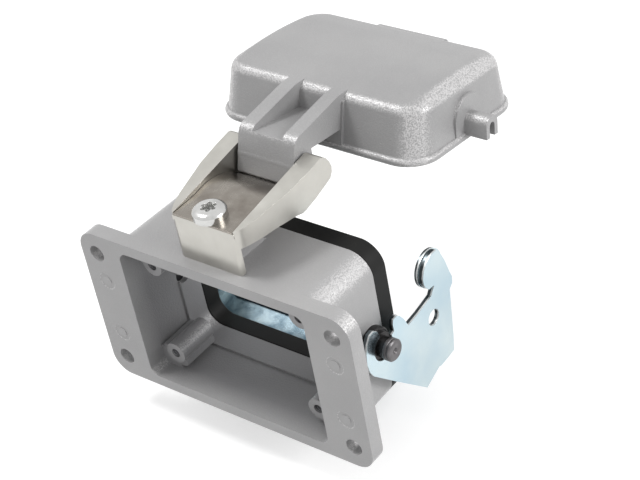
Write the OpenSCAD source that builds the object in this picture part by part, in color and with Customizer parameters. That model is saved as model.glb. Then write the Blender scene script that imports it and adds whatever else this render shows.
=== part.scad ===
// Heavy duty rectangular connector: panel mounting housing with a hinged cover and one locking lever.
// Millimetres. X runs along the long side, +Y leaves the panel toward the mating face, +Z is the
// hinge side. The origin is the centre of the flange's mounting face. The cover stands open.

/* [Flange] */
// length of the mounting flange
flange_w = 80; // [78:1:90]
// height of the mounting flange
flange_h = 43.5; // [43.5:0.5:46]
// thickness of the mounting flange
flange_t = 4; // [3:0.5:4]
// corner radius of the mounting flange
flange_r = 5; // [3:0.5:5.5]
// distance of the mounting holes from the short edges
mount_edge_x = 5; // [4.5:0.25:5.5]
// distance of the mounting holes from the long edges
mount_edge_z = 5.75; // [5:0.25:6.5]
// diameter of the mounting holes
mount_d = 4.4; // [4:0.1:4.8]

/* [Housing] */
// distance of the housing's short walls inside the flange edge
wing_x = 9.9; // [9.7:0.1:10.2]
// distance of the housing's long walls inside the flange edge
wing_z = 0.55; // [0.55:0.05:0.8]
// distance of the mating edge from the mounting face
body_end = 22; // [22:0.5:22.5]
// corner radius of the housing
body_r = 6; // [5:0.5:6.5]
// widening of each side from the mating edge back to the mounting face
draft = 0.5; // [0:0.1:0.5]
// short walls left beside the rear pocket
pocket_wall_x = 2.7; // [2.5:0.1:3]
// long walls left beside the rear pocket
pocket_wall_z = 2.4; // [2.2:0.1:2.8]
// depth of the rear pocket
pocket_d = 15.5; // [15:0.5:15.5]
// wall left all round by the throat
throat_wall = 3.4; // [3:0.2:3.6]

/* [Insert fixing] */
// distance between the insert screws along X
insert_x = 44; // [43:0.5:45]
// distance between the insert screws along Z
insert_z = 27; // [26.5:0.5:27.5]
// diameter of the screw bosses
boss_d = 5.7; // [5.2:0.1:6.2]
// distance of the boss faces from the mounting face
boss_y = 4.4; // [3:0.2:6]
// diameter of the screw holes in the bosses
boss_hole_d = 2.5; // [2.2:0.1:3]

/* [Seal] */
// distance the black mating seal stands out of the housing edge
seal_out = 4.8; // [4.5:0.1:4.9]
// depth of the seal's root in the housing edge
seal_root = 1; // [0.5:0.1:1.2]

/* [Hinge] */
// distance of the hinge axis from the mounting face
hinge_y = 29.9; // [29.8:0.1:30]
// height of the hinge axis above the housing's top wall
hinge_rise = 13.4; // [13.3:0.1:13.5]
// diameter of the hinge pin
hinge_d = 3; // [2.8:0.1:3.2]
// radial running clearance of the hinge pin in the knuckle
run_gap = 0.05; // [0.03:0.01:0.1]
// angle by which the cover stands open
open_angle = 82; // [78:1:82]
// thickness of the bracket sheet
sheet = 1.2; // [1:0.1:1.2]
// half of the clear width between the bracket's ears
ear_in = 8.8; // [8.7:0.1:8.9]
// thickness of the leaf spring
spring_t = 0.4; // [0.3:0.1:0.5]
// diameter of the bracket screw's head
screw_head_d = 8.1; // [7.6:0.2:8.6]

/* [Cover] */
// distance of the cover's long walls inside the housing's
cover_in = 0.6; // [0.4:0.1:0.8]
// lean of the cover's short walls from the rim to the top edge
taper_x = 0.9; // [0.6:0.1:1.2]
// lean of the cover's long walls from the rim to the top edge
taper_z = 1.7; // [1.4:0.1:2]
// height of the crowned outer face over the rim
cover_rise = 15.5; // [15:0.1:16]
// thickness of the cover's wall
cover_wall = 2; // [1.6:0.1:2.4]
// distance of the rim bead beyond the wall
bead_out = 0.9; // [0.6:0.1:1.2]
// gap between the closed cover's rim and the seal
rim_gap = 0.3; // [0.3:0.1:0.5]
// half width of the hinge arm
arm_half = 8.2; // [8:0.1:8.3]

/* [Lever] */
// distance of the lever's pivot from the mounting face
pivot_y = 17.2; // [17:0.1:17.4]
// thickness of the lever sheet
lever_t = 1.2; // [1:0.1:1.4]
// gap between each lever arm and its pivot pin's collar
lever_side_gap = 0.3; // [0.3:0.05:0.5]
// diameter of the pivot shank
shank_d = 6.8; // [6.4:0.1:7]
// radial running clearance of the lever on its shank
lever_gap = 0.06; // [0.04:0.01:0.1]
// diameter of the pivot pin's collar
collar_d = 8.4; // [8:0.1:9]

/* [Hidden] */
$fn = 96;
flat = 32;
eps = 0.02;
body_w = flange_w - 2 * wing_x;
body_h = flange_h - 2 * wing_z;
mount_x = flange_w - 2 * mount_edge_x;
mount_z = flange_h - 2 * mount_edge_z;
pocket_w = body_w - 2 * pocket_wall_x;
pocket_h = body_h - 2 * pocket_wall_z;
corner_x = body_w / 2 - body_r;
corner_z = body_h / 2 - body_r;
throat_w = body_w - 2 * throat_wall;
throat_h = body_h - 2 * throat_wall + 0.8;
throat_r = 4.5;
seal_in_w = throat_w - 0.4;
seal_in_h = throat_h - 0.4;
root_t = 1.2;
root_w = body_w - 2 * root_t;
root_h = body_h - 2 * root_t;
root_r = body_r - root_t;
rim_y = body_end + seal_out + rim_gap;
hinge_z = body_h / 2 + hinge_rise;
tab_y = 3.1;
tab_half = 8.2;
boss_half = 4.4;
cove_r = 2.2;
boss_top = hinge_z - 2.4;
bracket_top = boss_top + sheet;
bracket_floor_end = 15.2;
screw_y = 6.2;
screw_d = 3.5;
seat_x = body_w / 2 + 0.2;
collar_end = seat_x + 2;
lever_in = collar_end + lever_side_gap;
pin_end = lever_in + 4.45;
tail_in = seat_x - 2.1;
tip_d = 5.5;
neck_d = 5;
head_in = pin_end - 1.9;
tail_d = 4;
hook_in = lever_in - lever_t - 0.05;
knuckle_h = hinge_y - rim_y;
knuckle_r = 3.6;
leaf_drop = 4.6;
rib_in = 4.4;
cover_r = 7.5;
edge_r = 3;
cover_w = body_w;
cover_h = body_h - 2 * cover_in;
cover_top_w = cover_w - 2 * taper_x;
cover_top_h = cover_h - 2 * taper_z;
cover_side = cover_h / 2;
cover_edge = cover_rise - 1.6;
arch_steps = 5;
bead_h = 2.2;
pad_side = 0.6;
peg_pad_x = cover_w / 2 + 0.3;
peg_end = cover_w / 2 + 6.4;

coat = [0.66, 0.66, 0.67];
black = [0.13, 0.13, 0.12];
nickel = [0.74, 0.73, 0.69];
spring_steel = [0.58, 0.55, 0.52];
zinc = [0.78, 0.85, 0.88];
bright = [0.85, 0.85, 0.84];
dark = [0.35, 0.33, 0.34];

// ---- helpers ----

module along_y(y0, y1) { // an (x, z) outline pushed along Y
  translate([0, y1, 0]) rotate([90, 0, 0]) linear_extrude(y1 - y0) children();
}

module along_x(x0, x1) { // a (y, z) outline pushed along X
  translate([x0, 0, 0]) rotate([90, 0, 90]) linear_extrude(x1 - x0) children();
}

module rounded_rect(w, h, r) {
  square([w - 2 * r, h], center = true);
  square([w, h - 2 * r], center = true);
  for (sx = [-1, 1], sz = [-1, 1])
    translate([sx * (w / 2 - r), sz * (h / 2 - r)]) circle(r);
}

module rod_x(d, x0, x1) { // a round bar along X
  translate([x0, 0, 0]) rotate([0, 90, 0]) cylinder(d = d, h = x1 - x0);
}

module rod_y(d, y0, y1) { // a round bar along Y
  translate([0, y0, 0]) rotate([-90, 0, 0]) cylinder(d = d, h = y1 - y0);
}

module both_sides() {
  for (s = [0, 1]) mirror([s, 0, 0]) children();
}

module four_places(dx, dz) {
  for (sx = [-1, 1], sz = [-1, 1]) translate([sx * dx / 2, 0, sz * dz / 2]) children();
}

// ---- housing ----

module drafted_body() { // straight walls leaning in toward the mating edge
  run = body_end - flange_t;
  four_places(2 * corner_x, 2 * corner_z)
    translate([0, flange_t, 0]) rotate([-90, 0, 0]) cylinder(r1 = body_r + draft, r2 = body_r, h = run);
  translate([0, 0, -corner_z]) linear_extrude(2 * corner_z)
    polygon([[-body_w / 2 - draft, flange_t], [body_w / 2 + draft, flange_t],
      [body_w / 2, body_end], [-body_w / 2, body_end]]);
  along_x(-corner_x, corner_x)
    polygon([[flange_t, -body_h / 2 - draft], [body_end, -body_h / 2],
      [body_end, body_h / 2], [flange_t, body_h / 2 + draft]]);
}

module end_fillet() { // the sweep between the flange and an end wall
  r = 1.5;
  x0 = body_w / 2 + draft - 0.1;
  translate([0, 0, -corner_z]) linear_extrude(2 * corner_z) difference() {
    translate([x0 - r, flange_t - r]) square([2 * r, 2 * r]);
    translate([x0 + r, flange_t + r]) circle(r);
  }
}

module cove(r) { // the hollow corner of a cast fillet, rising from its own origin
  difference() {
    translate([-0.5, -0.9]) square([r + 0.5, r + 0.9]);
    translate([r, r]) circle(r);
  }
}

module bracket_boss() { // the block under the hinge bracket, swept into the top wall
  wall_top = body_h / 2;
  back = bracket_floor_end + 0.6;
  difference() {
    union() {
      along_x(-boss_half, boss_half) {
        translate([tab_y + sheet, wall_top - 1]) square([back - tab_y - sheet, boss_top - wall_top + 1]);
        translate([back, wall_top]) cove(cove_r);
      }
      both_sides() {
        along_y(tab_y + sheet, back) translate([boss_half, wall_top]) cove(cove_r);
        translate([boss_half, back, wall_top - 0.9]) rotate_extrude() difference() {
          square([cove_r, cove_r + 0.9]);
          translate([cove_r, cove_r + 0.9]) circle(cove_r);
        }
      }
    }
    translate([0, screw_y, boss_top - 8]) cylinder(d = screw_d, h = 9);
  }
}

module inner_boss() { // one insert screw boss with the web in its corner, drawn at +X +Z
  to_wall_x = pocket_w / 2 - insert_x / 2 + 0.5;
  to_wall_z = pocket_h / 2 - insert_z / 2 + 0.5;
  web_y = boss_y + 0.8;
  rod_y(boss_d, boss_y, pocket_d + 1);
  along_y(web_y, pocket_d + 1) {
    square([to_wall_x, to_wall_z]);
    intersection() {
      circle(4.4);
      translate([-2.4, -0.9]) square(12);
    }
  }
}

module ejector_mark() { // a shallow dish left by the casting tool, with a raised middle
  translate([0, -eps, 0]) rotate([-90, 0, 0]) difference() {
    cylinder(r1 = 2.5, r2 = 2.2, h = 0.17);
    translate([0, 0, -1]) cylinder(r = 1.3, h = 2);
  }
}

module housing() {
  color(coat) difference() {
    union() {
      along_y(0, flange_t) rounded_rect(flange_w, flange_h, flange_r);
      drafted_body();
      both_sides() end_fillet();
      bracket_boss();
      both_sides() translate([0, pivot_y, 0]) rod_x(collar_d, body_w / 2 - 1, seat_x);
    }
    difference() {
      along_y(-1, pocket_d) rounded_rect(pocket_w, pocket_h, 2.5);
      for (sx = [0, 1], sz = [0, 1]) mirror([sx, 0, 0]) mirror([0, 0, sz])
        translate([insert_x / 2, 0, insert_z / 2]) inner_boss();
    }
    along_y(pocket_d - eps, body_end + 1) rounded_rect(throat_w, throat_h, throat_r);
    four_places(insert_x, insert_z) rod_y(boss_hole_d, boss_y - 1, pocket_d - 2);
    four_places(mount_x, mount_z) rod_y(mount_d, -1, flange_t + 1);
    four_places(mount_x - 1.6, mount_z / 2) ejector_mark();
    both_sides() translate([0, pivot_y, 0]) rod_x(tail_d, throat_w / 2 - 2, body_w / 2 + 2);
    along_y(body_end - seal_root, body_end + 1) difference() {
      rounded_rect(root_w, root_h, root_r);
      rounded_rect(root_w - 2 * root_t, root_h - 2 * root_t, root_r - root_t);
    }
  }
}

// ---- seal ----

module mating_seal() {
  color(black) {
    difference() {
      along_y(body_end, body_end + seal_out) rounded_rect(body_w, body_h, body_r);
      along_y(body_end - 1, body_end + seal_out + 1) rounded_rect(seal_in_w, seal_in_h, throat_r);
    }
    along_y(body_end - seal_root, body_end) difference() {
      rounded_rect(root_w, root_h, root_r);
      rounded_rect(root_w - 2 * root_t, root_h - 2 * root_t, root_r - root_t);
    }
  }
}

// ---- hinge bracket, spring, screw and pin ----

ear_plan = [[ear_in, tab_y + 0.19], [9, tab_y + 0.25], [9.6, tab_y + 0.8], [10, tab_y + 1.7],
  [10.4, 5.6], [11.4, 9], [13.2, 19], [13.6, 26], [13.5, 36], [ear_in, 36]];
ear_profile = [[tab_y, -0.7], [tab_y, -5.4], [14, -5.4], [19.4, -5.7], [21.4, -6.3], [22.9, -6.1],
  [29.8, -4.3], [32.2, -3.6], [33.1, -2.4], [33.3, -1], [32.8, 0.6], [31.9, 2.1], [31, 2.9], [30.2, 3.15]];
ear_side = [for (p = ear_profile) [p[0], hinge_z + p[1]]]; // heights counted from the hinge axis
ear_hollow_plan = [[ear_in + sheet, 8.5], [12, 19], [12.4, 26], [12.3, 31.4], [ear_in + sheet, 31.4]];
ear_hollow_side = [for (p = [[8.5, -14.6], [8.5, -1.2], [30, 1.8], [31.4, 0.4], [31.4, -14.6]])
  [p[0], hinge_z + p[1]]];

module ear() { // a wedge of folded sheet, open underneath
  difference() {
    intersection() {
      linear_extrude(60) polygon(ear_plan);
      along_x(ear_in, 20) polygon(ear_side);
    }
    intersection() {
      linear_extrude(60) polygon(ear_hollow_plan);
      along_x(ear_in, 20) polygon(ear_hollow_side);
    }
  }
}

module tab() { // the front leaf, its edges turned back a little and its lower corners rounded
  r = 1.2;
  intersection() {
    translate([0, 0, flange_h / 2]) linear_extrude(bracket_top - flange_h / 2)
      polygon([[-tab_half, tab_y], [tab_half, tab_y], [9, tab_y + 0.25], [9.6, tab_y + 0.8],
        [8.7, tab_y + 1.6], [tab_half, tab_y + sheet], [-tab_half, tab_y + sheet],
        [-8.7, tab_y + 1.6], [-9.6, tab_y + 0.8], [-9, tab_y + 0.25]]);
    along_y(tab_y - 1, tab_y + 3) union() {
      translate([-10, flange_h / 2 + r]) square([20, 20]);
      translate([-9.5 + r, flange_h / 2]) square([19 - 2 * r, 20]);
      for (sx = [-1, 1]) translate([sx * (9.5 - r), flange_h / 2 + r]) circle(r);
    }
  }
}

module hinge_bracket() {
  color(nickel) difference() {
    union() {
      tab();
      translate([-ear_in - 0.2, tab_y, boss_top])
        cube([2 * ear_in + 0.4, bracket_floor_end - tab_y, sheet]);
      both_sides() ear();
    }
    translate([0, screw_y, boss_top - 1]) cylinder(d = screw_d, h = 4);
    translate([0, hinge_y, hinge_z]) both_sides() rod_x(hinge_d, 8, ear_in + sheet + 0.1);
  }
}

leaf_line = [[10.4, -0.8], [12, -0.62], [13.8, -0.36], [15.5, -0.25], [17.5, -0.4], [19.5, -0.8],
  [21.5, -1.45], [23, -2.1], [24.2, -2.85], [25, -3.6], [25.7, -4.25], [26.6, -leaf_drop],
  [31, -leaf_drop]]; // top of the leaf behind the screw, heights counted from the hinge axis

module leaf_spring() { // flat under the screw, bowed up behind it, then down and on under the knuckle
  count = len(leaf_line);
  color(spring_steel) difference() {
    along_x(-ear_in + 0.1, ear_in - 0.1)
      polygon(concat([[tab_y + 0.05, bracket_top], [tab_y + 0.05, bracket_top + spring_t]],
        [for (p = leaf_line) [p[0], hinge_z + p[1]]],
        [for (k = [count - 1 : -1 : 0]) [leaf_line[k][0] - 0.15, hinge_z + leaf_line[k][1] - spring_t]]));
    translate([0, screw_y, bracket_top - 1]) cylinder(d = screw_d, h = 3);
  }
}

module bracket_screw() {
  head_z = bracket_top + spring_t;
  head_h = 2.5;
  head_r = screw_head_d / 2;
  color(bright) translate([0, screw_y, 0]) difference() {
    rotate_extrude() polygon([[0, boss_top - 7], [screw_d / 2, boss_top - 7], [screw_d / 2, head_z],
      [head_r, head_z], [head_r, head_z + 1.6], [head_r - 0.35, head_z + 2.05],
      [head_r - 1, head_z + 2.4], [head_r - 1.7, head_z + head_h], [0, head_z + head_h]]);
    translate([0, 0, head_z + 0.9]) linear_extrude(2) union() {
      circle(1.35);
      for (k = [0 : 5]) rotate(60 * k) translate([1.4, 0]) circle(0.5);
    }
  }
}

module hinge_pin() {
  color(bright) translate([0, hinge_y, hinge_z]) rod_x(hinge_d, -ear_in - sheet, ear_in + sheet);
}

// ---- cover, drawn shut over the seal: h counts up from its rim ----

function arch(z) = cover_rise - (cover_rise - cover_edge) * pow(2 * z / cover_top_h, 2);

module cover_skin() { // outer form: straight base, filleted top edge, arched top
  hull() {
    four_places(cover_w - 2 * cover_r, cover_h - 2 * cover_r)
      translate([0, 1, 0]) rotate([-90, 0, 0]) cylinder(r = cover_r, h = 1, $fn = 48);
    four_places(cover_top_w - 2 * cover_r + 1, cover_top_h - 2 * cover_r + 1)
      translate([0, cover_edge - edge_r + 0.2, 0]) rotate([-90, 0, 0])
        rotate_extrude($fn = 48) translate([cover_r - 0.5 - edge_r, 0]) circle(edge_r, $fn = flat);
    for (k = [-arch_steps : arch_steps], sx = [-1, 1]) {
      z = k / arch_steps * (cover_top_h / 2 - cover_r);
      translate([sx * (cover_top_w / 2 - edge_r - 1.2), arch(z) - edge_r, z]) sphere(edge_r, $fn = flat);
    }
  }
}

module cover_hollow() { // the space inside, one wall thickness in
  in_r = cover_r - cover_wall;
  hull() {
    four_places(cover_w - 2 * cover_r, cover_h - 2 * cover_r)
      translate([0, -1, 0]) rotate([-90, 0, 0]) cylinder(r = in_r, h = 1, $fn = flat);
    four_places(cover_top_w - 2 * cover_r, cover_top_h - 2 * cover_r)
      translate([0, cover_edge - cover_wall - 2, 0]) rotate([-90, 0, 0])
        cylinder(r1 = in_r, r2 = in_r - 1, h = 1.6, $fn = flat);
    for (k = [-arch_steps : arch_steps]) {
      z = k / arch_steps * (cover_top_h / 2 - cover_r);
      translate([-cover_top_w / 2 + 5, arch(z) - cover_wall - 0.4, z])
        rotate([0, 90, 0]) cylinder(r = 0.4, h = cover_top_w - 10, $fn = 12);
    }
  }
}

module rim_bead() { // the rolled edge round the rim
  r = cover_r + bead_out - bead_h / 2;
  hull() four_places(cover_w - 2 * cover_r, cover_h - 2 * cover_r)
    translate([0, bead_h / 2, 0]) rotate([-90, 0, 0])
      rotate_extrude($fn = 48) translate([r, 0]) circle(bead_h / 2, $fn = flat);
}

module hinge_arm() { // two ribs over a web, flush with the cover's top, ending in the knuckle
  difference() {
    along_x(-arm_half, arm_half) {
      polygon([[5.5, cover_side - 1.1], [11.6, cover_side - 1.9], [13, cover_side - 4.5],
        [14.05, cover_side - 4.7], [13.98, cover_side - 0.7], [10.5, hinge_z - 0.4],
        [10.3, hinge_z + 0.6], [9.8, hinge_z + 1.5], [9.1, hinge_z + 2.2], [8.1, hinge_z + 2.6],
        [-0.8, hinge_z + 4.2], [-1.3, hinge_z + 3.9], [-1.45, hinge_z],
        [knuckle_h, hinge_z - knuckle_r], [5.5, hinge_z - 3.3]]);
      translate([knuckle_h, hinge_z]) circle(knuckle_r);
    }
    along_x(-rib_in, rib_in) polygon([[7.9, cover_side - 1.3], [9.1, hinge_z + 2.5], [9.1, hinge_z + 6],
      [20, hinge_z + 6], [20, cover_side - 8], [7.9, cover_side - 8]]);
    translate([0, knuckle_h, hinge_z]) rod_x(hinge_d + 2 * run_gap, -arm_half - 1, arm_half + 1);
  }
}

module arm_pad() { // thickened wall behind each rib
  both_sides() along_x(rib_in, arm_half + pad_side) polygon([[0.6, cover_side - 1.6],
    [0.6, cover_side + 0.6], [2.4, cover_side + 0.6], [11.6, cover_side - 1.05],
    [12.5, cover_side - 1.7], [12.5, cover_side - 2.6], [2, cover_side - 1.6]]);
}

module locking_peg() { // slotted peg and its pad on an end wall, drawn at +X
  along_x(28.4, peg_pad_x) {
    intersection() {
      translate([5.3, 0]) circle(5.7);
      translate([1.2, -6]) square([12, 12]);
    }
    translate([1.2, -5.7]) square([4.1, 11.4]);
  }
  difference() {
    along_x(peg_pad_x - 1, peg_end) {
      translate([4.7, 0]) circle(2.3);
      translate([1.6, -2.3]) square([3.1, 4.6]);
    }
    along_x(peg_pad_x, peg_end + 1) {
      translate([4.4, 0]) circle(1);
      translate([1, -1]) square([3.4, 2]);
    }
  }
}

module shut_cover() { // h = 0 at the rim plane
  difference() {
    union() {
      cover_skin();
      rim_bead();
      arm_pad();
      both_sides() locking_peg();
      along_x(-10, 10) polygon([[9.6, 2.6 - cover_side], [9.8, 1 - cover_side], [10.9, -0.8 - cover_side],
        [11.7, -0.9 - cover_side], [12.3, -0.3 - cover_side], [12.8, 2.6 - cover_side]]);
    }
    cover_hollow();
  }
  hinge_arm();
}

module cover() {
  color(coat) translate([0, hinge_y, hinge_z]) rotate([open_angle, 0, 0])
    translate([0, rim_y - hinge_y, -hinge_z]) shut_cover();
}

// ---- locking lever and its pins ----

bar_a = [30.2, -23]; // corner where the arms turn into the cross bar
bar_dir = 22; // slope of the cross bar in the side view
bar_w = 6.15;
bend_r = 0.6;
bend_top = lever_t + 0.05;
hook_r = 4.85;
arm_outline = [bar_a, [35.9, -20.7], [39.1, -20.5], [41.9, -20.1], [42.5, -16], [43.2, -7.9],
  [43.6, -2.7], [44.9, -1.6], [45.1, 0.2], [44.4, 2.3], [43.3, 6.2], [41.9, 9.6], [40.7, 11],
  [39.3, 11.1], [38.1, 10.9], [36.5, 10.1], [35.2, 8.6], [34.5, 6.9], [34.5, 5.4], [35, 4],
  [36.1, 2.7], [37.9, 2.6], [38.1, 2.3], [37, 1.2], [36.5, 0.5], [33.6, -0.1], [30.8, -0.6], [26.8, -1],
  [25.6, 1.8], [24.3, 3.7], [23.2, 4.4], [21.9, 4.3], [21.5, 3.2], [21.6, 1.2], [pivot_y, 0],
  [16.4, 3.9], [15.9, 5.4], [14.7, 6.3], [13.2, 6.1], [11.8, 4.4], [11, 2.2], [10.7, -0.6], [11.2, -3.1],
  [12.2, -5], [13.7, -6.5], [19.6, -12.5], [25.4, -18.2]];

module on_bar() { // moves to the bar's corner: first axis along the bar's slope, second inward
  translate(bar_a) rotate(bar_dir) children();
}

module lever_arm() {
  along_x(lever_in, lever_in + lever_t) difference() {
    polygon(arm_outline);
    on_bar() translate([-3, -1]) square([bar_w + 3, bend_top + 0.8]);
    translate([pivot_y, 0]) circle(shank_d / 2 + lever_gap);
    translate([36.2, -5.7]) circle(2.1);
  }
  translate([0, 39.3, 6.2]) { // hook disc, a second layer of the sheet folded behind the arm
    rod_x(2 * hook_r, hook_in, lever_in - 0.35);
    rod_x(2 * hook_r - 0.7, hook_in, lever_in);
  }
}

module bar_section(r, inset) { // U section across the bends, in (x, inward)
  w = 2 * (lever_in + lever_t) - 2 * inset;
  translate([0, inset]) union() {
    translate([-w / 2 + r, 0]) square([w - 2 * r, r]);
    translate([-w / 2, r]) square([w, bend_top + 2]);
    for (s = [-1, 1]) translate([s * (w / 2 - r), r]) circle(r);
  }
}

module cross_bar() { // rounded bends and the bar between the arms
  intersection() {
    translate([0, bar_a[0], bar_a[1]]) rotate([bar_dir, 0, 0]) translate([0, -2, 0])
      along_y(0, bar_w + 2) difference() {
        bar_section(bend_r, 0);
        bar_section(0.05, lever_t);
        translate([-50, bend_top]) square([100, 20]);
      }
    along_x(-50, 50) polygon(arm_outline);
  }
  along_x(-lever_in + 3.2, lever_in - 3.2) on_bar() translate([bar_w - lever_t, 0]) square([lever_t, 2.6]);
}

module locking_lever() {
  color(zinc) {
    both_sides() lever_arm();
    cross_bar();
  }
}

module lever_pin() { // turned pin at +X: tail in the wall, collar, shank, neck and grooved head
  shank_end = lever_in + 0.65;
  tip_r = tip_d / 2;
  groove = head_in + 0.85;
  color(dark) translate([0, pivot_y, 0]) rotate([0, 90, 0]) difference() {
    rotate_extrude() polygon([[0, tail_in], [tail_d / 2, tail_in], [tail_d / 2, seat_x],
      [collar_d / 2, seat_x], [collar_d / 2, collar_end - 0.3], [collar_d / 2 - 0.3, collar_end],
      [shank_d / 2, collar_end], [shank_d / 2, shank_end], [neck_d / 2, shank_end],
      [neck_d / 2, head_in], [tip_r - 0.15, head_in], [tip_r, head_in + 0.15], [tip_r, groove],
      [tip_r - 0.2, groove + 0.1], [tip_r - 0.2, groove + 0.25], [tip_r, groove + 0.35],
      [tip_r, pin_end - 0.35], [tip_r - 0.35, pin_end], [0, pin_end]]);
    translate([0, 0, pin_end - 0.5]) cylinder(r1 = 0.4, r2 = 0.9, h = 0.6);
  }
}

module lever_pin_right() {
  lever_pin();
}

module lever_pin_left() {
  mirror([1, 0, 0]) lever_pin();
}

housing();
mating_seal();
hinge_bracket();
leaf_spring();
bracket_screw();
hinge_pin();
cover();
locking_lever();
lever_pin_left();
lever_pin_right();
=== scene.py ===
import bmesh
import bpy
import numpy as np
from mathutils import Matrix, Vector


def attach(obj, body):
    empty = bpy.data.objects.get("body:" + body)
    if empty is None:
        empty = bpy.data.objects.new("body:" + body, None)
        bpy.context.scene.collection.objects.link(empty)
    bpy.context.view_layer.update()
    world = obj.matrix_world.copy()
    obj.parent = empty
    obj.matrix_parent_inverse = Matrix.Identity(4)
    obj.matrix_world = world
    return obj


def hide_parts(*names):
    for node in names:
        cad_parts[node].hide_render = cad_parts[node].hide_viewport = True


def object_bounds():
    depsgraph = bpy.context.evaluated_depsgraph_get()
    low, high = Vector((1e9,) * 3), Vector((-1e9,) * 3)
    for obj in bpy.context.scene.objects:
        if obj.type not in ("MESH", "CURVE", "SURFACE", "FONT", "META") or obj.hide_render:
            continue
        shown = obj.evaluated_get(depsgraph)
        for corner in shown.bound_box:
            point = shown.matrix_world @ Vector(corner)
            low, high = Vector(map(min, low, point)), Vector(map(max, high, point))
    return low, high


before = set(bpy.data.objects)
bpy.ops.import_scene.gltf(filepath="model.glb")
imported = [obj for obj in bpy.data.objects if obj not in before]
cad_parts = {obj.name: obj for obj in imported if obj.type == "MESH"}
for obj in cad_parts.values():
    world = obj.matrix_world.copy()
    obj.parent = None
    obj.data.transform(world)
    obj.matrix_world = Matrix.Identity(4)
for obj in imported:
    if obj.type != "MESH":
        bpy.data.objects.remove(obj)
cadLow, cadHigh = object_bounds()
mm = 0.001
print("frame loaded")


class Wire:  # a shader socket that takes the usual operators
    def __init__(self, tree, socket):
        self.tree, self.socket = tree, socket

    def math(self, operation, a, b=None):
        node = self.tree.nodes.new("ShaderNodeMath")
        node.operation = operation
        for k, value in enumerate((a, b)):
            if isinstance(value, Wire):
                self.tree.links.new(value.socket, node.inputs[k])
            elif value is not None:
                node.inputs[k].default_value = value
        return Wire(self.tree, node.outputs[0])

    def __add__(self, o): return self.math("ADD", self, o)
    def __radd__(self, o): return self.math("ADD", o, self)
    def __sub__(self, o): return self.math("SUBTRACT", self, o)
    def __rsub__(self, o): return self.math("SUBTRACT", o, self)
    def __mul__(self, o): return self.math("MULTIPLY", self, o)
    def __rmul__(self, o): return self.math("MULTIPLY", o, self)
    def __abs__(self): return self.math("ABSOLUTE", self)
    def most(self, o): return self.math("MAXIMUM", self, o)


class Finish:  # a material and its node tree
    def __init__(self, name):
        self.material = bpy.data.materials.new(name)
        self.material.use_nodes = True
        self.tree = self.material.node_tree
        self.shader = self.tree.nodes["Principled BSDF"]
        self.coords = self.tree.nodes.new("ShaderNodeTexCoord")
        self.place = Wire(self.tree, self.coords.outputs["Object"])

    def node(self, kind, settings=None, output=0, **sockets):  # any other node, its settings first
        made = self.tree.nodes.new(kind)
        for key, value in (settings or {}).items():
            setattr(made, key, value)
        for key, value in sockets.items():
            where = int(key[1:]) if key[1:].isdigit() else key.replace("_", " ")
            self.plug(made.inputs[where], value)
        return Wire(self.tree, made.outputs[output])

    def plug(self, socket, value):
        if isinstance(value, Wire):
            self.tree.links.new(value.socket, socket)
        elif isinstance(value, tuple) and len(value) == 3 and socket.type == "RGBA":
            socket.default_value = (*value, 1)
        else:
            socket.default_value = value

    def grain(self, size, detail=2.0, rough=0.5, stretch=None):  # noise round 0.5, size in mm
        where = self.place
        if stretch:
            where = self.node("ShaderNodeMapping", Vector=where, Scale=stretch)
        return self.node("ShaderNodeTexNoise", Vector=where, Scale=1 / (size * mm),
                         Detail=detail, Roughness=rough)

    def ramp(self, value, low, high):  # low gives 0 and high gives 1
        return self.node("ShaderNodeMapRange", {"clamp": True}, Value=value, From_Min=low, From_Max=high)

    def axes(self, vector):
        parts = self.node("ShaderNodeSeparateXYZ", Vector=vector)
        return [Wire(self.tree, parts.socket.node.outputs[k]) for k in range(3)]

    def dot(self, axis):  # how far the surface faces along an axis of its piece
        facing = Wire(self.tree, self.coords.outputs["Normal"])
        return self.node("ShaderNodeVectorMath", {"operation": "DOT_PRODUCT"}, output=1, i0=facing, i1=axis)

    def tint(self, mask, first, second):
        return self.node("ShaderNodeMix", {"data_type": "RGBA"}, output=2, i0=mask, i6=first, i7=second)

    def bump(self, height, strength, depth):  # depth in mm
        return self.node("ShaderNodeBump", Height=height, Strength=strength, Distance=depth * mm)

    def finish(self, **sockets):
        for key, value in sockets.items():
            self.plug(self.shader.inputs[key.replace("_", " ")], value)
        return self.material


# what holds for every dressed piece unless its own dictionary says more, in mm and degrees
dressing = {"doubles": 0.002, "merge": 0.04, "flush": 0.6, "crease": 28, "steps": 2, "weight": 90}


# the CAD form with its doubles merged and its edges broken
def dressed(node, name, body, material, look):
    look = {**dressing, **look}
    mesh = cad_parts[node].data.copy()
    bm = bmesh.new()
    bm.from_mesh(mesh)
    for reach in (look["doubles"], look["merge"]):
        bmesh.ops.remove_doubles(bm, verts=bm.verts, dist=reach * mm)
    bmesh.ops.dissolve_limit(bm, angle_limit=np.radians(look["flush"]), verts=bm.verts, edges=bm.edges)
    bm.to_mesh(mesh)
    bm.free()
    crease = np.radians(look["crease"])
    mesh.shade_smooth()
    mesh.set_sharp_from_angle(angle=crease)
    mesh.materials.clear()
    mesh.materials.append(material)
    piece = bpy.data.objects.new(name, mesh)
    bpy.context.scene.collection.objects.link(piece)
    cut = piece.modifiers.new("edges", "BEVEL")
    cut.width, cut.segments = look["edge"] * mm, look["steps"]
    cut.limit_method, cut.angle_limit = "ANGLE", crease
    cut.use_clamp_overlap = True
    piece.modifiers.new("normals", "WEIGHTED_NORMAL").weight = look["weight"]
    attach(piece, body)
    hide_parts(node)


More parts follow.
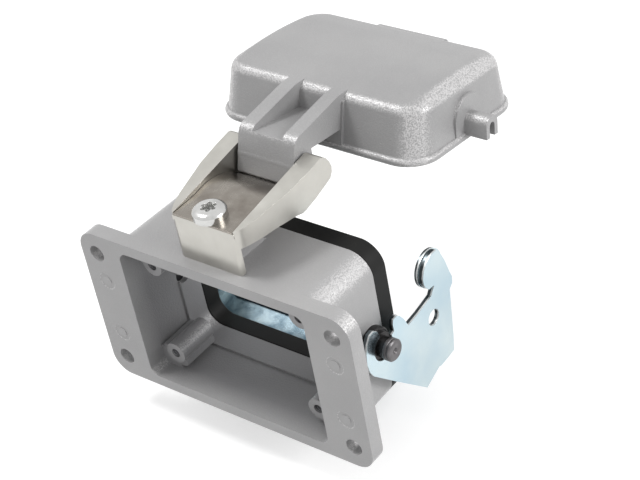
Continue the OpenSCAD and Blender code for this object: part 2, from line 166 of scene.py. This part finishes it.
# a closed ring of quads from a grid of points, joined end to end both ways
def closedRing(name, points, material):
    rows, columns = points.shape[:2]
    index = np.arange(rows * columns).reshape(rows, columns)
    after = np.roll(index, -1, axis=0)
    quads = np.stack([index, np.roll(index, -1, axis=1), np.roll(after, -1, axis=1), after], axis=-1)
    mesh = bpy.data.meshes.new(name)
    mesh.from_pydata(points.reshape(-1, 3), [], quads.reshape(-1, 4))
    mesh.shade_smooth()
    mesh.materials.append(material)
    piece = bpy.data.objects.new(name, mesh)
    bpy.context.scene.collection.objects.link(piece)
    return piece


# housing and cover: cast metal under a grey coat, with its grain painted as a bright glint on every rounded
# edge
# the dim colour is painted shade, for the inside of the pocket
castCoat = {"colour": (0.350, 0.347, 0.350), "worn": (0.385, 0.382, 0.383), "dim": (0.248, 0.246, 0.252),
            "paintedGlint": (0.72, 0.71, 0.71), "grain": 0.34, "fine": 0.14, "depth": 0.11, "cloud": 16,
            "roughness": 0.40, "metal": 0.10, "sparkle": 0.66,
            "flat": 0.985, "round": 0.86,  # how squarely a flat and a rounded edge look along an axis
            "speck": (0.53, 0.60), "coarse": 0.65, "lift": 0.08, "plain": 0.08, "inside": 0.6,
            "mottle": (0.35, 0.65), "patchy": 0.1, "polish": 0.15, "heavy": 0.75, "relief": 0.9}
housing = {"edge": 0.45, "steps": 3, "open": 0, "pocket": (0.0276, 0.0190),
           "mouth": 0.0004, "lip": 0.0001, "deep": 0.006}
# painted shade: the cover's coat colours are the housing's, darkened by this factor
cover = {"edge": 0.30, "steps": 3, "open": 82, "paintedShade": 0.88}


def speckledCoat(name, look, piece):
    f = Finish(name)
    cloud, grain, fine = f.grain(look["cloud"], 3), f.grain(look["grain"], 1, 0.7), f.grain(look["fine"], 1)
    # painted shade: a shade factor below 1 darkens the coat colours
    plain, worn = [tuple(piece.get("paintedShade", 1) * c for c in look[key]) for key in ("colour", "worn")]
    colour = f.tint(f.ramp(cloud, *look["mottle"]), plain, worn)
    if "pocket" in piece:  # painted shade: the coat colour and its glint are darkened inside the pocket
        x, y, z = f.axes(f.place)
        inside = f.ramp(y, piece["mouth"], piece["deep"])
        for across, half in zip((x, z), piece["pocket"]):
            inside = inside * f.ramp(abs(across), half + piece["mouth"], half - piece["lip"])
        colour = f.tint(inside, colour, look["dim"])
    turn = np.radians(piece["open"])  # the casting's own axes, to tell its flats from its rounded edges
    flat = abs(f.dot((1, 0, 0)))
    for axis in ((0, np.cos(turn), np.sin(turn)), (0, -np.sin(turn), np.cos(turn))):
        flat = flat.most(abs(f.dot(axis)))
    rounded = f.ramp(flat, look["flat"], look["round"])
    speck = grain * look["coarse"] + fine * (1 - look["coarse"]) + rounded * look["lift"]
    paintedGlint = f.ramp(speck, *look["speck"]) * (rounded * (1 - look["plain"]) + look["plain"])
    if "pocket" in piece:
        # painted shade: the glint is cut back inside the pocket too
        paintedGlint = paintedGlint * (1 - inside * look["inside"])
    # painted highlight: the glint colour lightens the coat's grains on its rounded edges
    colour = f.tint(paintedGlint * look["sparkle"], colour, look["paintedGlint"])
    rough = look["roughness"] + (cloud - 0.5) * look["patchy"] - paintedGlint * look["polish"]
    relief = f.bump(grain * look["heavy"] + fine * (1 - look["heavy"]), look["relief"], look["depth"])
    return f.finish(Base_Color=colour, Roughness=rough, Metallic=look["metal"], Normal=relief)


dressed("housing", "housingCasting", "base",
        speckledCoat("greyHousingCoat", castCoat, housing), housing)
dressed("cover", "coverCasting", "lid", speckledCoat("greyCoverCoat", castCoat, cover), cover)
print("castings dressed")

mottled = (0.3, 0.7)  # where the cloud grain starts and ends its change of colour

# threads tapped in the four insert bosses, their near-black colour painted shade of the deep bores
tapped = {"radius": 1.25, "depth": 0.20, "pitch": 0.5, "start": 4.62, "end": 13.3, "wall": 0.12,
          "across": 44, "up": 27, "around": 40, "perTurn": 8, "runIn": 0.6, "steep": 1.6, "root": 0.3,
          "proud": 0.01, "colour": (0.10, 0.10, 0.105), "bright": 1.4, "cloud": 0.6, "fine": 0.12,
          "roughness": 0.34, "patchy": 0.2, "metal": 0.9, "relief": 0.3, "depthFine": 0.01}


def cutThread():
    f = Finish("shadedBossThread")
    t = tapped
    cloud, fine = f.grain(t["cloud"], 3), f.grain(t["fine"], 2)
    # painted shade: the near-black thread colour stands for the shade of the deep bores
    colour = f.tint(f.ramp(cloud, *mottled), t["colour"], tuple(t["bright"] * c for c in t["colour"]))
    return f.finish(Base_Color=colour, Roughness=t["roughness"] + (cloud - 0.5) * t["patchy"],
                    Metallic=t["metal"], Normal=f.bump(fine, t["relief"], t["depthFine"]))


# radius = bore radius - depth times a triangle wave of (length over pitch - turn), closed by an outer wall
def tappedBore(name, x, z, material):
    t = tapped
    count = int((t["end"] - t["start"]) / t["pitch"] * t["perTurn"])
    turn, length = np.meshgrid(np.arange(t["around"]) / t["around"],
                               np.linspace(t["start"], t["end"], count))
    wave = 1 - np.abs(2 * np.mod(length / t["pitch"] - turn, 1) - 1)
    fade = np.clip((length - t["start"]) / t["runIn"], 0, 1)
    crest = np.clip(t["steep"] * wave - t["root"], 0, 1)
    radius = t["radius"] + t["proud"] - t["depth"] * fade * crest
    wallRows = np.array([t["end"], t["start"]])
    turn = np.vstack([turn, turn[:2]])
    length = np.vstack([length, np.repeat(wallRows[:, None], t["around"], axis=1)])
    radius = np.vstack([radius, np.full((2, t["around"]), t["radius"] + t["wall"])])
    angle = 2 * np.pi * turn
    points = np.stack([x + radius * np.cos(angle), length, z + radius * np.sin(angle)], axis=-1) * mm
    piece = closedRing(name, points, material)
    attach(piece, "base")


shadedThreadMetal = cutThread()
for name, sx, sz in (("threadUpperRight", 1, 1), ("threadUpperLeft", -1, 1),
                     ("threadLowerRight", 1, -1), ("threadLowerLeft", -1, -1)):
    tappedBore(name, sx * tapped["across"] / 2, sz * tapped["up"] / 2, shadedThreadMetal)
print("boss threads cut")

# mating seal: soft black rubber with a matt bloom
seal = {"edge": 0.25, "colour": (0.0075, 0.0075, 0.0074), "bloom": (0.013, 0.013, 0.0125),
        "cloud": 11, "fine": 0.35, "roughness": 0.52, "gloss": 0.17,
        "patchy": 0.15, "relief": 0.25, "depth": 0.03}


def blackRubber():
    f = Finish("blackSealRubber")
    cloud, fine = f.grain(seal["cloud"], 3), f.grain(seal["fine"], 2)
    colour = f.tint(f.ramp(cloud, *mottled), seal["colour"], seal["bloom"])
    return f.finish(Base_Color=colour, Roughness=seal["roughness"] + (cloud - 0.5) * seal["patchy"],
                    Specular_IOR_Level=seal["gloss"], Normal=f.bump(fine, seal["relief"], seal["depth"]))


dressed("mating_seal", "matingSeal", "base", blackRubber(), seal)
print("seal dressed")

# hinge bracket: folded sheet with warm satin nickel plating
bracket = {"edge": 0.20, "steps": 3, "colour": (0.46, 0.448, 0.415), "pale": (0.55, 0.539, 0.503),
           "cloud": 9, "rolled": 0.9, "roughness": 0.33, "paintedRidgeHighlight": (0.93, 0.91, 0.84),
           "upward": (0.15, 0.3), "turned": (0.2, 0.5), "square": (0.97, 0.8)}
# leaf spring: brownish rolled spring steel
spring = {"edge": 0.06, "colour": (0.215, 0.191, 0.167), "pale": (0.36, 0.337, 0.303),
          "cloud": 6, "rolled": 0.7, "roughness": 0.25}
# locking lever: flat sheet with pale blue zinc and bright sheared edges, their brightness partly painted
# reflection
lever = {"edge": 0.10, "colour": (0.47, 0.60, 0.67), "pale": (0.60, 0.69, 0.71), "tornEdgeShade": (0.13, 0.15, 0.16),
         "cut": (0.90, 0.93, 0.93), "barDarkReflection": (0.085, 0.145, 0.19), "faces": (33.8, 32.25),
         "burnish": 0.42, "soft": 0.05, "sideways": (0.7, 0.3),
         "low": -18.6, "barTop": 0.5, "barFade": 1, "barHalf": (31.5, 30.0),  # where the cross bar lies, in mm
         "barReflectionShare": (0.45, 0.42),
         "cloud": 13, "fine": 0.6, "blotch": 3.2, "patches": (0.66, 0.38), "roughness": 0.19,
         "patchy": 0.16, "ground": (0.2, 0.12), "relief": 0.12, "depth": 0.012, "crease": 32.25}
rolling = {"patchy": 0.2, "streaky": 0.1, "relief": 0.12, "depth": 0.010}  # grain of nickel and spring


def platedSheet(name, look, stretch):
    f = Finish(name)
    cloud, lines = f.grain(look["cloud"], 4, 0.55), f.grain(look["rolled"], 3, 0.6, stretch)
    colour = f.tint(f.ramp(cloud, *mottled), look["colour"], look["pale"])
    if "paintedRidgeHighlight" in look:  # painted highlight: the broken edges along the tops of the sides are lightened where they face up
        side = abs(f.dot((1, 0, 0)))
        upward = f.ramp(f.dot((0, 0, 1)), *look["upward"])
        edge = f.ramp(side, *look["turned"]) * f.ramp(side, *look["square"]) * upward
        colour = f.tint(edge, colour, look["paintedRidgeHighlight"])
    rough = look["roughness"] + (cloud - 0.5) * rolling["patchy"] + (lines - 0.5) * rolling["streaky"]
    return f.finish(Base_Color=colour, Metallic=1.0, Roughness=rough,
                    Normal=f.bump(lines, rolling["relief"], rolling["depth"]))


# the sheared edges are burnished next to each sheet's outer face and torn behind it; their near-white and
# near-black colours are partly that and partly painted reflection
def blueZinc():
    f = Finish("blueZinc")
    cloud, fine = f.grain(lever["cloud"], 3, 0.55), f.grain(lever["fine"], 3)
    x, z = [part * 1000 for part in f.axes(f.place)[::2]]
    low, soft, half = lever["low"], lever["soft"], lever["burnish"] / 2
    edgeFace = f.ramp(abs(f.dot((1, 0, 0))), *lever["sideways"]) * f.ramp(z, low - lever["barTop"], low)
    outer, folded = [f.ramp(abs(abs(x) - face + half), half + soft, half - soft) for face in lever["faces"]]
    bright = outer.most(folded)
    colour = f.tint(f.ramp(cloud, *mottled), lever["colour"], lever["pale"])
    blotch = f.ramp(f.grain(lever["blotch"], 3, 0.5), *lever["patches"])
    bar = f.ramp(z, low, low - lever["barFade"]) * f.ramp(abs(x), *lever["barHalf"])
    least, more = lever["barReflectionShare"]  # painted reflection: the bar is darkened to blue, in blotches, for the dark housing it mirrors
    colour = f.tint(bar * (least + blotch * more), colour, lever["barDarkReflection"])
    # painted reflection, in part: the edge faces take the near-white cut or near-black torn colour
    colour = f.tint(edgeFace, colour, f.tint(bright, lever["tornEdgeShade"], lever["cut"]))
    shine, dull = lever["ground"]
    rough = lever["roughness"] + (cloud - 0.5) * lever["patchy"] + edgeFace * (bright * shine + dull)
    return f.finish(Base_Color=colour, Metallic=1.0, Roughness=rough,
                    Normal=f.bump(fine, lever["relief"], lever["depth"]))


dressed("hinge_bracket", "hingeBracket", "base",
        platedSheet("satinNickel", bracket, (6, 6, 0.35)), bracket)
dressed("leaf_spring", "leafSpring", "base",
        platedSheet("rolledSpringSteel", spring, (8, 0.5, 4)), spring)
dressed("locking_lever", "lockingLever", "lever", blueZinc(), lever)
print("sheet parts dressed")

# small turned parts: bright screw and hinge pin, dark lever pins
screw = {"edge": 0.05, "merge": 0.008, "colour": (0.50, 0.50, 0.49), "pale": (0.66, 0.66, 0.65),
         "cloud": 3.2, "fine": 0.4, "roughness": 0.20, "metal": 1.0}
hingePin = {"edge": 0.10, "merge": screw["merge"]}
leverPin = {"edge": 0.08, "colour": (0.088, 0.084, 0.087), "pale": (0.18, 0.172, 0.177),
            "cloud": 2.8, "fine": 0.38, "roughness": 0.38, "metal": 0.8, "head": 35.1, "shankDarker": 0.42}
turning = {"patchy": 0.2, "relief": 0.15, "depth": 0.02, "line": 0.1}


def turnedMetal(name, look):
    f = Finish(name)
    cloud, fine = f.grain(look["cloud"], 3), f.grain(look["fine"], 2)
    colour = f.tint(f.ramp(cloud, *mottled), look["colour"], look["pale"])
    if "head" in look:  # the shank behind the head is made darker
        behind = f.ramp(abs(f.axes(f.place)[0]) * 1000, look["head"] + turning["line"], look["head"])
        colour = f.tint(behind, colour, tuple(look["shankDarker"] * c for c in look["colour"]))
    return f.finish(Base_Color=colour, Metallic=look["metal"],
                    Normal=f.bump(fine, turning["relief"], turning["depth"]),
                    Roughness=look["roughness"] + (cloud - 0.5) * turning["patchy"])


brightZinc, darkSteel = turnedMetal("brightZinc", screw), turnedMetal("darkPinSteel", leverPin)
dressed("bracket_screw", "bracketScrew", "base", brightZinc, screw)
dressed("hinge_pin", "hingePin", "base", brightZinc, hingePin)
dressed("lever_pin_left", "leverPinLeft", "base", darkSteel, leverPin)
dressed("lever_pin_right", "leverPinRight", "base", darkSteel, leverPin)
print("turned parts dressed")

# pale floor and air: a strength of 1 for what the lens and the gloss see, less for the light itself;
# the floor lies clear of the lever, which swings 8.8 mm below its place at rest
studio = {"floorDrop": 0.0092, "floorHalf": 3.0, "floorPale": 0.62, "floorStep": 0.02, "floorGlow": 0.52,
          "floorCloud": 125, "roughness": 0.9, "patchy": 0.05, "air": 0.67, "aim": (0, 0.03, 0)}


def seenDirectly(tree, *more):  # 1 for camera and glossy rays
    rays = tree.nodes.new("ShaderNodeLightPath")
    seen = Wire(tree, rays.outputs["Is Camera Ray"])
    for name in ("Is Glossy Ray", *more):
        seen = seen.most(Wire(tree, rays.outputs[name]))
    return seen


def palePlane():
    f = Finish("paleFloor")
    cloud, pale = f.grain(studio["floorCloud"], 2), studio["floorPale"]
    colour = f.tint(cloud, (pale,) * 3, (pale + studio["floorStep"],) * 3)
    f.finish(Base_Color=colour, Roughness=studio["roughness"] + (cloud - 0.5) * studio["patchy"])
    glow = f.node("ShaderNodeEmission", Strength=studio["floorGlow"])
    dim = f.node("ShaderNodeEmission", Strength=0.0)
    mixed = f.node("ShaderNodeMixShader", i0=seenDirectly(f.tree), i1=dim, i2=glow)
    total = f.node("ShaderNodeAddShader", i0=Wire(f.tree, f.shader.outputs[0]), i1=mixed)
    f.tree.links.new(total.socket, f.tree.nodes["Material Output"].inputs["Surface"])
    return f.material


half, low = studio["floorHalf"], cadLow.z - studio["floorDrop"]
floorMesh = bpy.data.meshes.new("floor")
floorMesh.from_pydata([(-half, -half, low), (half, -half, low), (half, half, low), (-half, half, low)],
                      [], [(0, 1, 2, 3)])
floorMesh.materials.append(palePlane())
floor = bpy.data.objects.new("floor", floorMesh)
bpy.context.scene.collection.objects.link(floor)

world = bpy.data.worlds.new("studioAir")
bpy.context.scene.world = world
world.use_nodes = True
air = world.node_tree
power = seenDirectly(air, "Is Transmission Ray") * (1.0 - studio["air"]) + studio["air"]
air.nodes["Background"].inputs["Color"].default_value = (1, 1, 1, 1)
air.links.new(power.socket, air.nodes["Background"].inputs["Strength"])

lamps = {"topLamp": {"place": (-0.25, -0.07, 0.55), "size": 0.14, "watts": 1.6},
         "sideLamp": {"place": (0.55, 0.20, 0.32), "size": 0.24, "watts": 2.2}}
for name, lamp in lamps.items():
    data = bpy.data.lights.new(name, "AREA")
    data.shape, data.size, data.energy = "SQUARE", lamp["size"], lamp["watts"]
    box = bpy.data.objects.new(name, data)
    box.location = lamp["place"]
    box.rotation_euler = (Vector(studio["aim"]) - box.location).to_track_quat("-Z", "Y").to_euler()
    bpy.context.scene.collection.objects.link(box)

view = {"lens": 98.52, "sensor": 36.0, "place": (0.23706, -0.20877, 0.25314),
        "right": (0.78839, 0.59415, -0.15945), "up": (-0.25582, 0.55237, 0.79337),
        "back": (0.55946, -0.58470, 0.58748)}
cameraData = bpy.data.cameras.new("camera")
cameraData.lens, cameraData.sensor_width = view["lens"], view["sensor"]
camera = bpy.data.objects.new("camera", cameraData)
bpy.context.scene.collection.objects.link(camera)
turn = Matrix([view["right"], view["up"], view["back"]]).transposed()
camera.matrix_world = Matrix.Translation(view["place"]) @ turn.to_4x4()
bpy.context.scene.camera = camera
bpy.context.scene.view_settings.view_transform = "Standard"
print("floor, light and camera set")
